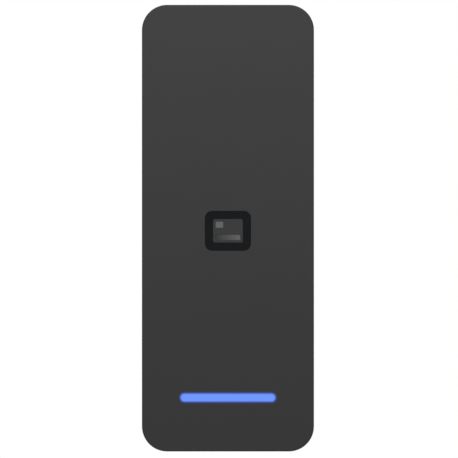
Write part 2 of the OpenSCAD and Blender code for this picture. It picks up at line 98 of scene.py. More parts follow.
# ---------------------------------------------------------------- material graph
class Graph:
    """A material's node tree, built on its Principled shader. Lengths are in metres, as on the object."""

    def __init__(self, name, **settings):
        self.material = bpy.data.materials.new(name)
        self.material.use_nodes = True
        self.tree = self.material.node_tree
        self.shader = self.tree.nodes["Principled BSDF"]
        self.place = self.node("ShaderNodeTexCoord").outputs["Object"]
        for key, value in settings.items():
            self.put(self.shader, key.replace("_", " "), value)

    def put(self, node, socket, value):
        target = node.inputs[socket]
        if isinstance(value, bpy.types.NodeSocket):
            self.tree.links.new(value, target)
        elif hasattr(value, "__len__") and len(value) == 3 and target.type == "RGBA":
            target.default_value = (*value, 1.0)
        else:
            target.default_value = value

    def node(self, kind, inputs=None, **settings):
        made = self.tree.nodes.new(kind)
        for key, value in settings.items():
            setattr(made, key, value)
        for key, value in (inputs or {}).items():
            self.put(made, key, value)
        return made

    def math(self, operation, a, b=0.0, c=0.0, clamp=False):
        made = self.node("ShaderNodeMath", operation=operation, use_clamp=clamp)
        for index, value in enumerate((a, b, c)):
            self.put(made, index, value)
        return made.outputs[0]

    def length(self, vector, origin=(0, 0, 0)):
        """How far vector lies from the origin given."""
        made = self.node("ShaderNodeVectorMath", {0: vector, 1: origin}, operation="DISTANCE")
        return made.outputs["Value"]

    def stretched(self, scale):
        return self.node("ShaderNodeMapping", {"Vector": self.place, "Scale": scale}).outputs[0]

    def split(self):
        return self.node("ShaderNodeSeparateXYZ", {"Vector": self.place}).outputs

    def face(self):
        """The place as seen along Y, for patterns that lie in a board's or plate's face."""
        x, _, z = self.split()
        return self.node("ShaderNodeCombineXYZ", {"X": x, "Y": z}).outputs[0]

    def noise(self, size, detail=2.0, rough=0.5, where=None):
        """Noise whose lumps are about size metres across."""
        return self.node("ShaderNodeTexNoise", {"Vector": where or self.place, "Scale": 1.0 / size,
                         "Detail": detail, "Roughness": rough, "Distortion": 0.0}).outputs["Fac"]

    def cells(self, size, feature="F1", output="Distance", metric="EUCLIDEAN", flat=False, jitter=1.0):
        """Voronoi cells about size metres apart, in the face's plane only if flat."""
        made = self.node("ShaderNodeTexVoronoi", voronoi_dimensions="2D" if flat else "3D", feature=feature,
                         distance=metric)
        self.put(made, "Vector", self.face() if flat else self.place)
        self.put(made, "Scale", 1.0 / size)
        self.put(made, "Randomness", jitter)
        return made.outputs[output]

    def seams(self, size, jitter=1.0):
        """0 on the seams between square cells in the face's plane, rising away from them."""
        second = self.cells(size, feature="F2", metric="CHEBYCHEV", flat=True, jitter=jitter)
        return self.math("SUBTRACT", second, self.cells(size, metric="CHEBYCHEV", flat=True, jitter=jitter))

    def spots(self, centres, near, far):
        """1 within near metres of any of the centres in the face's plane, falling to 0 at far metres."""
        closest = None
        for x, z in centres:
            gap = self.length(self.face(), (x, z, 0.0))
            closest = gap if closest is None else self.math("MINIMUM", closest, gap)
        return self.remap(closest, near, far, 1.0, 0.0)

    def remap(self, value, a, b, c=0.0, d=1.0):
        """value, carried from the range a to b over to the range c to d and held inside it."""
        return self.node("ShaderNodeMapRange", {"Value": value, "From Min": a, "From Max": b, "To Min": c,
                         "To Max": d}).outputs[0]

    def mix(self, amount, a, b):
        first_colour, second_colour, colour_out = 6, 7, 2
        made = self.node("ShaderNodeMix", {"Factor": amount}, data_type="RGBA")
        self.put(made, first_colour, a)
        self.put(made, second_colour, b)
        return made.outputs[colour_out]

    def shade(self, colour, amount, spread):
        """colour, made lighter and darker by spread where amount, from 0 to 1, is above or below a half."""
        dark = tuple(max(c * (1 - spread), 0.0) for c in colour)
        light = tuple(min(c * (1 + spread), 1.0) for c in colour)
        return self.mix(amount, dark, light)

    def bump(self, height, depth):
        last = self.shader.inputs["Normal"]
        inputs = {"Height": height, "Distance": depth, "Strength": 1.0}
        if last.is_linked:
            inputs["Normal"] = last.links[0].from_socket
        self.put(self.shader, "Normal", self.node("ShaderNodeBump", inputs).outputs[0])

    def capsule(self, centre, half_length, half_height, radius):
        """Signed distance in the face's plane from a rounded bar's outline, negative inside."""
        x, _, z = self.split()
        from_x = self.math("ABSOLUTE", self.math("SUBTRACT", x, centre.x))
        from_z = self.math("ABSOLUTE", self.math("SUBTRACT", z, centre.z))
        dx = self.math("SUBTRACT", from_x, half_length - radius)
        dz = self.math("SUBTRACT", from_z, half_height - radius)
        past = {"X": self.math("MAXIMUM", dx, 0.0), "Z": self.math("MAXIMUM", dz, 0.0)}
        outside = self.length(self.node("ShaderNodeCombineXYZ", past).outputs[0])
        inside = self.math("MINIMUM", self.math("MAXIMUM", dx, dz), 0.0)
        return self.math("SUBTRACT", self.math("ADD", outside, inside), radius)


# ---------------------------------------------------------------- materials
def moulded(name, colour, rough=0.5, grain=0.25 * MM, depth=0.006 * MM, spread=0.08, patch=9 * MM,
            gloss=0.04, **settings):
    """Moulded plastic: fine spark-eroded grain, slow colour drift and uneven gloss."""
    g = Graph(name, **settings)
    drift = g.noise(patch, 3.0, 0.55)
    fine = g.noise(grain, 3.0, 0.6)
    tone = g.math("MULTIPLY_ADD", fine, 0.35, g.math("MULTIPLY", drift, 0.65))
    g.put(g.shader, "Base Color", g.shade(colour, tone, spread))
    g.put(g.shader, "Roughness", g.remap(g.noise(patch / 4), 0.3, 0.7, rough - gloss, rough + gloss))
    g.bump(fine, depth)
    return g


def metal(name, colour, rough=0.3, along=(1, 1, 1), grain=0.12 * MM, spread=0.12, depth=0.002 * MM,
          patch=6 * MM):
    """Metal with drawn or brushed lines: along stretches the lines' pattern."""
    g = Graph(name, Metallic=1.0)
    lines = g.noise(grain, 3.0, 0.65, where=g.stretched(along))
    cloud = g.noise(patch, 4.0, 0.6)
    tone = g.math("MULTIPLY_ADD", lines, 0.5, g.math("MULTIPLY", cloud, 0.5))
    g.put(g.shader, "Base Color", g.shade(colour, tone, spread))
    g.put(g.shader, "Roughness", g.remap(g.math("ADD", lines, cloud), 0.7, 1.3, rough - 0.08, rough + 0.1))
    g.bump(lines, depth)
    return g


def cover_plastic():
    """Matt dark plastic, with painted light: a faint blue glow in a thin line around the light slot stands in
    for the light bar's light spilling onto the cover.
    """
    g = moulded("cover_plastic", (0.0214, 0.0217, 0.0214), rough=0.74, grain=0.22 * MM, depth=0.004 * MM,
                spread=0.05, patch=24 * MM, gloss=0.012, Specular_IOR_Level=0.17)
    slot = g.capsule(BAR_MID, BAR_HALF.x, BAR_HALF.z, BAR_HALF.z)
    near = g.remap(slot, 0.0, GLOW_REACH, 1.0, 0.0)
    front = g.remap(g.split()[1], FACE_Y + 1 * MM, FACE_Y + 1.2 * MM, 1.0, 0.0)
    # painted light: emission on the cover next to the slot stands in for the light bar's glow falling on it
    g.put(g.shader, "Emission Color", (0.030, 0.052, 0.36))
    g.put(g.shader, "Emission Strength", g.math("MULTIPLY", front, g.math("POWER", near, 2.0)))
    return g


def light_bar():
    """Lit lens, darker and bluer towards its edge."""
    g = Graph("light_bar", Roughness=0.5, Specular_IOR_Level=0.25)
    edge = g.capsule(BAR_MID, BAR_HALF.x, BAR_HALF.z, BAR_HALF.z)
    cloud = g.noise(1.5 * MM, 3.0)
    core = g.remap(edge, -0.5 * MM, 0.0, 0.98, 0.42)
    blue = g.mix(g.remap(edge, -0.4 * MM, 0.0), (0.130, 0.285, 1.0), (0.13, 0.25, 1.0))
    g.put(g.shader, "Base Color", g.mix(cloud, (0.01, 0.015, 0.03), (0.015, 0.02, 0.04)))
    g.put(g.shader, "Emission Color", blue)
    g.put(g.shader, "Emission Strength", g.math("MULTIPLY", core, g.remap(cloud, 0.2, 0.8, 0.97, 1.03)))
    g.bump(g.noise(0.2 * MM), 0.002 * MM)
    return g


def badge_grey():
    """Grey inlay. The stripe fades out to the left, and the chip mark above it doesn't."""
    g = Graph("badge_grey", Specular_IOR_Level=0.2)
    x, _, z = g.split()
    chip_z = middle("badge_chip").z
    above = g.remap(z, chip_z - 1.6 * MM, chip_z - 1.4 * MM)
    fade = g.math("MAXIMUM", g.remap(x, -4 * MM, 4 * MM), above)
    fine = g.noise(0.3 * MM)
    light = g.shade((0.076, 0.080, 0.080), fine, 0.06)
    g.put(g.shader, "Base Color", g.mix(fade, (0.02, 0.021, 0.021), light))
    g.put(g.shader, "Roughness", g.remap(fine, 0.3, 0.7, 0.2, 0.3))
    g.bump(fine, 0.0008 * MM)
    return g


def board(name, mask, pour):
    """Circuit board: mask over copper pours and fine tracks, with tinned vias and a glass-weave grain."""
    g = Graph(name)
    weave = g.noise(0.5 * MM, 3.0, where=g.stretched((1, 1, 3)))
    areas, tracks = g.seams(4.2 * MM), g.seams(1.5 * MM, jitter=0.6)
    fine = g.math("MULTIPLY", g.remap(tracks, 0.06, 0.10, 1.0, 0.0), g.remap(areas, 0.20, 0.24))
    copper = g.math("SUBTRACT", g.remap(areas, 0.035, 0.05), fine, clamp=True)

    via = g.cells(1.9 * MM, flat=True, jitter=0.8)
    lot = g.cells(1.9 * MM, output="Color", flat=True, jitter=0.8)
    drawn = g.remap(g.node("ShaderNodeSeparateColor", {"Color": lot}).outputs[0], 0.66, 0.67)
    line_parts_area = g.capsule(Vector((0, 0, -18.5 * MM)), 6 * MM, 13 * MM, 0.5 * MM)
    chosen = g.math("MULTIPLY", drawn, g.remap(line_parts_area, 0.3 * MM, 0.35 * MM))
    bore = g.remap(via, 0.07, 0.08, 1.0, 0.0)
    hole = g.math("MULTIPLY", chosen, bore)
    ring = g.math("MULTIPLY", chosen, g.math("SUBTRACT", g.remap(via, 0.15, 0.16, 1.0, 0.0), bore))

    base = g.mix(copper, g.shade(mask, weave, 0.12), g.shade(pour, weave, 0.06))
    base = g.mix(ring, base, (0.62, 0.60, 0.52))
    g.put(g.shader, "Base Color", g.mix(hole, base, (0.01, 0.01, 0.01)))
    g.put(g.shader, "Metallic", ring)
    g.put(g.shader, "Roughness", g.remap(weave, 0.3, 0.7, 0.30, 0.42))
    g.bump(g.math("ADD", copper, ring), 0.02 * MM)
    return g


def flex_film():
    """Amber film over copper: the antenna's turns, and straight tracks on the light's flex."""
    g = Graph("flex_film", Roughness=0.25)
    strips = g.node("ShaderNodeTexWave", {"Vector": g.place, "Scale": 1.0 / (4.4 * MM), "Distortion": 0.0},
                    wave_type="BANDS", bands_direction="X").outputs["Fac"]
    flex_top = lo_hi("led_flex")[1].z
    on_flex = g.remap(g.split()[2], flex_top, flex_top + 0.1 * MM, 1.0, 0.0)
    straight = g.math("MULTIPLY", g.remap(strips, 0.55, 0.7), on_flex)

    coil = lo_hi("antenna_coil")[1]
    outline = g.capsule(Vector((0, 0, coil.z - COIL_HALF_H)), coil.x, COIL_HALF_H, 0.0)
    turn = g.math("MULTIPLY", outline, -1.0 / COIL_PITCH)
    within = g.remap(turn, COIL_TURNS, COIL_TURNS + 0.02, 1.0, 0.0)
    on_coil = g.math("MULTIPLY", g.remap(turn, 0.0, 0.02), within)
    nested = g.math("MULTIPLY", g.remap(g.math("FRACT", turn), 0.50, 0.56, 1.0, 0.0), on_coil)

    tracks = g.math("MAXIMUM", straight, nested)
    amber = g.shade((0.42, 0.17, 0.03), g.noise(2 * MM, 3.0), 0.15)
    g.put(g.shader, "Base Color", g.mix(tracks, amber, (0.60, 0.27, 0.09)))
    g.bump(tracks, 0.02 * MM)
    return g


def vent_fabric():
    g = Graph("vent_fabric", Roughness=0.85, Sheen_Weight=0.3)
    lattice = g.cells(0.28 * MM, jitter=0.35)
    g.put(g.shader, "Base Color", g.shade((0.72, 0.72, 0.69), lattice, 0.12))
    g.bump(lattice, 0.03 * MM)
    return g


def label_film():
    """Pale label with a thin dark line inside its edge."""
    g = Graph("label_film")
    low, high = lo_hi("blank_label")
    half = (high - low) / 2
    edge = g.capsule((low + high) / 2, half.x, half.z, 1 * MM)
    outer = g.remap(edge, -1.15 * MM, -1.1 * MM, 1.0, 0.0)
    line = g.math("MULTIPLY", g.remap(edge, -1.35 * MM, -1.3 * MM), outer)
    fibre = g.noise(0.35 * MM, 4.0, 0.7)
    paper = g.shade((0.68, 0.68, 0.65), fibre, 0.05)
    g.put(g.shader, "Base Color", g.mix(line, paper, (0.12, 0.12, 0.12)))
    g.put(g.shader, "Roughness", g.remap(fibre, 0.3, 0.7, 0.45, 0.55))
    g.bump(fibre, 0.004 * MM)
    return g


def bracket_steel():
    """Zinc-plated sheet: faint crystal patches, rolling lines, and bright rings where screw heads turn."""
    g = metal("bracket_steel", (0.50, 0.505, 0.515), rough=0.36, along=(10, 10, 1), grain=0.6 * MM,
              spread=0.10, depth=0.003 * MM, patch=11 * MM)
    base = g.shader.inputs["Base Color"].links[0].from_socket
    rough = g.shader.inputs["Roughness"].links[0].from_socket
    lot = g.cells(3.2 * MM, output="Color")
    crystals = g.node("ShaderNodeSeparateColor", {"Color": lot}).outputs[0]
    worn = g.remap(g.noise(0.9 * MM, 4.0), 0.42, 0.6)
    rubbed = g.math("MULTIPLY", g.spots(wall_holes(), 3.4 * MM, 3.8 * MM), worn)
    base = g.mix(g.remap(crystals, 0.0, 1.0, 0.0, 0.22), base, (0.36, 0.37, 0.39))
    smoother = g.math("MULTIPLY_ADD", rubbed, -0.08, rough)
    g.put(g.shader, "Base Color", g.mix(g.math("MULTIPLY", rubbed, 0.5), base, (0.72, 0.72, 0.71)))
    g.put(g.shader, "Roughness", g.math("MULTIPLY_ADD", crystals, 0.10, smoother))
    return g


PLASTICS = {
    "badge_gloss": dict(colour=(0.0045, 0.005, 0.0055), rough=0.22, grain=0.4 * MM, depth=0.0003 * MM,
                        spread=0.12, patch=4 * MM, Specular_IOR_Level=0.12),
    "black_plastic": dict(colour=(0.020, 0.020, 0.022), rough=0.42, grain=0.2 * MM, spread=0.2,
                          patch=4 * MM),
    "chip_black": dict(colour=(0.022, 0.022, 0.024), rough=0.55, grain=0.1 * MM, depth=0.008 * MM,
                       spread=0.25, patch=3 * MM),
    "ferrite": dict(colour=(0.035, 0.036, 0.040), rough=0.45, grain=0.18 * MM, depth=0.012 * MM,
                    spread=0.35, patch=2 * MM),
    "ivory_plastic": dict(colour=(0.66, 0.61, 0.49), rough=0.45, spread=0.06, patch=3 * MM),
    "led_body": dict(colour=(0.80, 0.72, 0.38), rough=0.3, grain=0.1 * MM, spread=0.15, patch=1 * MM),
    "red_plastic": dict(colour=(0.42, 0.035, 0.025), rough=0.4, spread=0.1, patch=2 * MM),
    "seal_rubber": dict(colour=(0.030, 0.028, 0.028), rough=0.75, grain=0.3 * MM, depth=0.012 * MM,
                        spread=0.3, patch=2 * MM),
    "tray_plastic": dict(colour=(0.026, 0.027, 0.028), rough=0.55, grain=0.3 * MM, depth=0.008 * MM,
                         spread=0.15, patch=12 * MM),
    "white_plastic": dict(colour=(0.74, 0.74, 0.72), rough=0.42, spread=0.04),
}
METALS = {
    "brass": dict(colour=(0.74, 0.53, 0.22), rough=0.25, along=(1, 1, 6), patch=3 * MM),
    "copper_track": dict(colour=(0.78, 0.36, 0.20), rough=0.28, patch=3 * MM),
    "gold_metal": dict(colour=(0.86, 0.62, 0.24), rough=0.22, along=(1, 1, 0.1), patch=2 * MM),
    "screw_steel": dict(colour=(0.56, 0.57, 0.58), rough=0.27, grain=0.25 * MM, patch=2 * MM),
    "tin_metal": dict(colour=(0.62, 0.63, 0.65), rough=0.3, along=(1, 1, 0.05), patch=4 * MM),
}
GRAPHS = {
    "cover_plastic": cover_plastic(),
    "light_bar": light_bar(),
    "badge_grey": badge_grey(),
    "white_board": board("white_board", mask=(0.66, 0.66, 0.62), pour=(0.76, 0.76, 0.73)),
    "green_board": board("green_board", mask=(0.006, 0.050, 0.026), pour=(0.014, 0.115, 0.055)),
    "flex_film": flex_film(),
    "vent_fabric": vent_fabric(),
    "label_film": label_film(),
    "bracket_steel": bracket_steel(),
    **{name: moulded(name, **look) for name, look in PLASTICS.items()},
    **{name: metal(name, **look) for name, look in METALS.items()},
}
for part in subparts:
    shown = nodes[part["node"]]
    shown.data.materials.clear()
    shown.data.materials.append(GRAPHS[part["material_slot"]].material)


# ---------------------------------------------------------------- softened edges on the CAD's own shapes
EDGE_MM = {"wall_bracket": 0.16, "rear_tray": 0.12, "front_cover": 0.10, "network_jack": 0.10,
           "main_board": 0.06, "power_inductor": 0.25, "magnetics": 0.08, "beeper": 0.20,
           "bulk_capacitors": 0.30, "host_chip": 0.05, "card_chip": 0.04, "memory_chip": 0.05,
           "crystal_can": 0.10, "radio_shield": 0.06, "light_box": 0.10, "led_socket": 0.08,
           "flex_socket": 0.08, "tamper_switch": 0.08, "reset_switch": 0.08, "tamper_plunger": 0.10,
           "reset_button": 0.10, "bay_gasket": 0.10, "rim_gasket": 0.10}


def soften(name, width):
    """Rounds the node's sharp edges for the render, as modifiers on top of its untouched mesh."""
    node = nodes[name]
    weld = node.modifiers.new("weld", "WELD")
    weld.merge_threshold = 0.002 * MM
    flat = node.modifiers.new("flat", "DECIMATE")
    flat.decimate_type = "DISSOLVE"
    flat.angle_limit = math.radians(1.0)
    soft = node.modifiers.new("soft", "BEVEL")
    soft.width = width
    soft.segments = 2
    soft.limit_method = "ANGLE"
    soft.angle_limit = math.radians(50.0)
    soft.miter_outer = "MITER_ARC"


for name, width in EDGE_MM.items():
    soften(name, width * MM)


# ---------------------------------------------------------------- mesh building
def add_box(bm, low, high, soft=0.0):
    """A box between two corners, its edges rounded off by soft."""
    low, high = Vector(low), Vector(high)
    place = Matrix.Translation((low + high) / 2) @ Matrix.Diagonal((*(high - low), 1.0))
    box = bmesh.ops.create_cube(bm, size=1.0, matrix=place)
    if soft:
        edges = list({e for v in box["verts"] for e in v.link_edges})
        bmesh.ops.bevel(bm, geom=edges, offset=soft, segments=1, profile=0.5, affect="EDGES")


def add_blocks(bm, xs, ys, zs, solid):
    """One closed shape from the grid's cells (i, j, k) for which solid is true, with no faces inside."""
    counts = (len(xs) - 1, len(ys) - 1, len(zs) - 1)
    corners = {}

    def corner(i, j, k):
        if (i, j, k) not in corners:
            corners[i, j, k] = bm.verts.new((xs[i], ys[j], zs[k]))
        return corners[i, j, k]

    def filled(cell):
        return all(0 <= v < n for v, n in zip(cell, counts)) and solid(*cell)

    def add_face(cell, axis, side):
        loop = []
        for a, b in ((0, 0), (1, 0), (1, 1), (0, 1)):
            at = list(cell)
            at[axis] += side
            at[(axis + 1) % 3] += a
            at[(axis + 2) % 3] += b
            loop.append(corner(*at))
        bm.faces.new(loop if side else loop[::-1])

    for cell in ((i, j, k) for i in range(counts[0]) for j in range(counts[1]) for k in range(counts[2])):
        if not filled(cell):
            continue
        for axis in range(3):
            for side in (0, 1):
                beside = list(cell)
                beside[axis] += 1 if side else -1
                if not filled(beside):
                    add_face(cell, axis, side)


def add_turned(bm, profile, place, steps=32, angles=None, closed=False):
    """A turned solid. Its profile lists (radius, place along local Z); a radius may depend on the angle."""
    angles = angles or [math.tau * i / steps for i in range(steps)]
    rings = []
    for radius, along in profile:
        if radius == 0:
            rings.append([bm.verts.new(place @ Vector((0, 0, along)))] * len(angles))
        else:
            sizes = [radius(a) if callable(radius) else radius for a in angles]
            rings.append([bm.verts.new(place @ Vector((r * math.cos(a), r * math.sin(a), along)))
                          for r, a in zip(sizes, angles)])
    for first, second in zip(rings, rings[1:] + (rings[:1] if closed else [])):
        for i in range(len(angles)):
            j = (i + 1) % len(angles)
            loop = [first[i], first[j], second[j], second[i]]
            bm.faces.new([v for n, v in enumerate(loop) if v not in loop[:n]])


def add_sides(bm, rings):
    """Faces between each ring of vertices and the next."""
    for first, second in zip(rings, rings[1:]):
        for i in range(len(first)):
            j = (i + 1) % len(first)
            bm.faces.new((first[i], first[j], second[j], second[i]))


def add_strip(bm, path, x0, x1, thick):
    """A bent strip: path lists (y, z) down the middle of its thickness, and it runs from x0 to x1."""
    points = [Vector(p) for p in path]
    rings = []
    for i, point in enumerate(points):
        along = (points[min(i + 1, len(points) - 1)] - points[max(i - 1, 0)]).normalized()
        across = Vector((-along.y, along.x)) * thick / 2
        a, b = point + across, point - across
        rings.append([bm.verts.new((x, p.x, p.y)) for x, p in ((x0, a), (x1, a), (x1, b), (x0, b))])
    add_sides(bm, rings)
    bm.faces.new(rings[0][::-1])
    bm.faces.new(rings[-1])


def rounded(width, height, radius, centre, steps=6):
    """Points (x, z) round a rounded rectangle."""
    points = []
    for quarter, (sx, sz) in enumerate(((1, 1), (-1, 1), (-1, -1), (1, -1))):
        for i in range(steps + 1):
            angle = (quarter + i / steps) * math.pi / 2
            points.append((centre.x + sx * (width / 2 - radius) + radius * math.cos(angle),
                           centre.z + sz * (height / 2 - radius) + radius * math.sin(angle)))
    return points


def add_rim(bm, around, gap, radius, line, height, soft):
    """A rim of the given line width on the tray's back, gap outside the node's box, its crest softened."""
    low, high = lo_hi(around)
    y0, y1 = TRAY_BACK - 0.1 * MM, TRAY_BACK + height
    levels = ((0.0, y0), (0.0, y1 - soft), (soft, y1), (line - soft, y1), (line, y1 - soft), (line, y0))
    rings = []
    for out, y in levels:
        width, tall = high.x - low.x + 2 * (gap + out), high.z - low.z + 2 * (gap + out)
        outline = rounded(width, tall, radius + out, (low + high) / 2)
        rings.append([bm.verts.new((x, y, z)) for x, z in outline])
    add_sides(bm, rings + rings[:1])


def outward(x, y, z):
    """Places a turned shape with its axis outwards along +Y."""
    return Matrix.Translation((x, y, z)) @ Matrix.Rotation(-math.pi / 2, 4, "X")


def piece(bm, name, slot, body, *hidden, sharp=35.0):
    """Makes the piece from the mesh, rides it on its body and hides the CAD nodes it stands for."""
    bmesh.ops.recalc_face_normals(bm, faces=bm.faces)
    for face in bm.faces:
        face.smooth = True
    for edge in bm.edges:
        edge.smooth = edge.calc_face_angle(math.pi) < math.radians(sharp)
    mesh = bpy.data.meshes.new(name)
    bm.to_mesh(mesh)
    bm.free()
    made = bpy.data.objects.new(name, mesh)
    bpy.context.scene.collection.objects.link(made)
    mesh.materials.append(GRAPHS[slot].material)
    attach(made, body)
    if hidden:
        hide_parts(*hidden)


# ---------------------------------------------------------------- screws, washer and insert nut
def thread(core, crest, pitch, start, stop, fade):
    """Profile of a screw thread from start to stop along the axis, fading out at both ends."""
    rows = int((stop - start) / pitch * 6)
    profile = []
    for row in range(rows + 1):
        along = start + (stop - start) * row / rows
        depth = (crest - core) * max(0.0, min(1.0, (along - start) / fade, (stop - along) / fade))

        def radius(angle, along=along, depth=depth):
            turn = (along / pitch - angle / math.tau) % 1.0
            return core + depth * (1 - abs(2 * turn - 1))
        profile.append((radius, along))
    return profile


def cross(length, width):
    """Radius of a cross-shaped recess at an angle."""
    def radius(angle):
        turn = abs((angle + math.pi / 4) % (math.pi / 2) - math.pi / 4)
        return min(length / math.cos(turn), width / max(math.sin(turn), 1e-6))
    return radius


def hexagon(flat):
    """Radius of a hexagon at an angle, from its flats' distance to the middle."""
    return lambda angle: flat / math.cos((angle + math.pi / 6) % (math.pi / 3) - math.pi / 6)


def cross_screw(name, crest, pitch, head):
    """Pan-head screw with a cross recess, its head outwards along +Y, over the CAD node's screw."""
    low, high = lo_hi(name)
    centre = (low + high) / 2
    length = high.y - low.y
    head_r = (high.x - low.x) / 2
    core = crest * 0.74
    under = length - head
    corner = math.atan2(0.17, 0.62)
    quarter = (-math.pi / 4, -0.60, -0.42, -corner, -0.12, 0.0, 0.12, corner, 0.42, 0.60)
    turns = [q * math.pi / 2 + a for q in range(4) for a in quarter]

    profile = [(0, 0.0), (core * 0.35, 0.05 * MM), (core, core * 0.9)]
    profile += thread(core, crest, pitch, core * 0.9 + 0.02 * MM, under - 0.35 * MM, 0.8 * pitch)
    profile += [(core, under - 0.3 * MM), (crest, under), (head_r * 0.95, under)]
    profile += [(head_r, under + 0.06 * head_r), (head_r, length - head * 0.52)]
    crown = ((0.96, 0.33), (0.88, 0.16), (0.74, 0.05))
    profile += [(head_r * out, length - head * down) for out, down in crown]
    recess = ((0.66, 0.18, 0.0), (0.62, 0.15, 0.05), (0.30, 0.11, 0.62), (0.10, 0.09, 0.72))
    profile += [(cross(head_r * arm, head_r * half), length - head * down) for arm, half, down in recess]
    profile.append((0, length - head * 0.74))

    bm = bmesh.new()
    add_turned(bm, profile, outward(centre.x, low.y, centre.z), angles=turns)
    piece(bm, name + "_turned", "screw_steel", "reader", name, sharp=28.0)


def security_screw():
    """Round-headed screw with a hexagon socket and a pin, its head down."""
    low, high = lo_hi("security_screw")
    centre = (low + high) / 2
    length, head_r = high.z - low.z, (high.x - low.x) / 2
    head, crest, core, pitch = 2.4 * MM, 1.5 * MM, 1.22 * MM, 0.5 * MM
    pin, socket, socket_mouth, socket_depth = 0.40 * MM, 1.04 * MM, 1.16 * MM, 1.4 * MM

    profile = [(0, 0.25 * MM), (pin - 0.06 * MM, 0.25 * MM), (pin, 0.31 * MM), (pin, socket_depth)]
    profile += [(hexagon(socket), socket_depth), (hexagon(socket), 0.12 * MM), (hexagon(socket_mouth), 0.0)]
    profile += [(head_r * 0.80, 0.0), (head_r * 0.93, 0.10 * MM), (head_r, 0.38 * MM)]
    profile += [(head_r, head - 0.1 * MM), (head_r - 0.1 * MM, head)]
    profile += [(crest, head), (crest, head + 1.0 * MM), (core, head + 1.3 * MM)]
    profile += thread(core, crest, pitch, head + 1.35 * MM, length - 0.65 * MM, 0.4 * MM)
    profile += [(core, length - 0.6 * MM), (0.8 * MM, length), (0, length)]

    bm = bmesh.new()
    add_turned(bm, profile, Matrix.Translation((centre.x, centre.y, low.z)), steps=36)
    piece(bm, "security_screw_turned", "screw_steel", "screw", "security_screw", sharp=28.0)


def washer():
    """Captive washer, a hair's breadth clear of the screw head that turns below it."""
    low, high = lo_hi("screw_washer")
    centre = (low + high) / 2
    gap, soft = 0.02 * MM, 0.1 * MM
    outer, inner, thick = (high.x - low.x) / 2, 1.58 * MM, high.z - low.z - gap
    profile = [(inner, soft), (inner + soft, 0), (outer - soft, 0), (outer, soft)]
    profile += [(outer, thick - soft), (outer - soft, thick), (inner + soft, thick), (inner, thick - soft)]
    bm = bmesh.new()
    place = Matrix.Translation((centre.x, centre.y, low.z + gap))
    add_turned(bm, profile, place, steps=48, closed=True)
    piece(bm, "screw_washer_pressed", "screw_steel", "washer", "screw_washer")


def insert_nut():
    """Knurled brass insert with a groove round its middle."""
    low, high = lo_hi("insert_nut")
    centre = (low + high) / 2
    outer, length = (high.x - low.x) / 2, high.z - low.z
    bore, soft, ridges, ridge = 1.56 * MM, 0.15 * MM, 24, 0.10 * MM
    plain = outer - 0.2 * MM

    def knurl(angle):
        return outer - ridge * abs(2 * ((angle * ridges / math.tau) % 1.0) - 1)
    profile = [(bore, soft), (bore + soft, 0), (plain, 0), (knurl, 0.2 * MM), (knurl, 2.1 * MM)]
    profile += [(plain, 2.2 * MM), (plain, 3.1 * MM), (knurl, 3.2 * MM), (knurl, length - soft)]
    profile += [(plain, length), (bore + soft, length), (bore, length - soft)]
    bm = bmesh.new()
    add_turned(bm, profile, Matrix.Translation((centre.x, centre.y, low.z)), steps=96, closed=True)
    piece(bm, "insert_nut_knurled", "brass", "reader", "insert_nut")


# ---------------------------------------------------------------- network socket's pressed shell
def jack_shell():
    """Folded sheet over the socket's rear, sides and top, with a sprung finger in each of two windows."""
    low, high = lo_hi("network_jack")
    gap, sheet = 0.03 * MM, 0.22 * MM
    out_x, out_y, top = (v + gap + sheet for v in high)
    window_in, window_out = 2.3 * MM, 5.7 * MM
    xs = [-out_x, -out_x + sheet, -window_out, -window_in, window_in, window_out, out_x - sheet, out_x]
    ys = [BOARD_BACK + 0.4 * MM, out_y - sheet, out_y]
    zs = [low.z + 0.25 * MM, 3.6 * MM, 9.4 * MM, top - sheet, top]
    last = len(xs) - 2

    def solid(i, j, k):
        if j == 1:
            return not (i in (2, 4) and k == 1)
        return i in (0, last) or k == 3
    bm = bmesh.new()
    add_blocks(bm, xs, ys, zs, solid)
    folds = [e for e in bm.edges if e.calc_face_angle(0) > 0.5]
    bmesh.ops.bevel(bm, geom=folds, offset=0.05 * MM, segments=1, profile=0.5, affect="EDGES")

    middle_y = out_y - sheet / 2
    finger = ((-0.02, 9.5), (0.02, 9.0), (0.12, 8.0), (0.20, 6.6), (0.12, 5.3), (0.0, 4.3), (-0.04, 3.9))
    path = [(middle_y + out * MM, z * MM) for out, z in finger]
    half_w = 1.15 * MM
    for side in (-1, 1):
        x = side * (window_in + window_out) / 2
        add_strip(bm, path, x - half_w, x + half_w, 0.16 * MM)
    piece(bm, "jack_shell", "tin_metal", "reader")


# ---------------------------------------------------------------- small parts on the board
def taken_places(front):
    """Boxes (x0, x1, z0, z1) on one side of the board that small parts keep off."""
    boxes = []
    for part in subparts:
        low, high = lo_hi(part["node"])
        covers_all = high.x - low.x > 30 * MM
        if part["node"] == "bay_gasket" or covers_all:
            continue
        if front:
            reaches = low.y < BOARD_FRONT - 0.01 * MM < high.y + 0.1 * MM
        else:
            reaches = low.y < BOARD_BACK + 0.6 * MM < high.y + 0.6 * MM
        if reaches and high.y > BOARD_FRONT - 1 * MM:
            boxes.append((low.x, high.x, low.z, high.z))
    return boxes


def clear_of_frame(x, z):
    """False under the rubber frame of the cable bay, and in the bay where the line parts stand."""
    def within(out):
        return BAY_LOW.x - out < x < BAY_HIGH.x + out and BAY_LOW.z - out < z < BAY_HIGH.z + out
    line_parts_here = abs(x) < LINE_HALF_W and LINE_LOW < z < LINE_HIGH
    return not within(1.1 * MM) or (within(-2.2 * MM) and not line_parts_here)


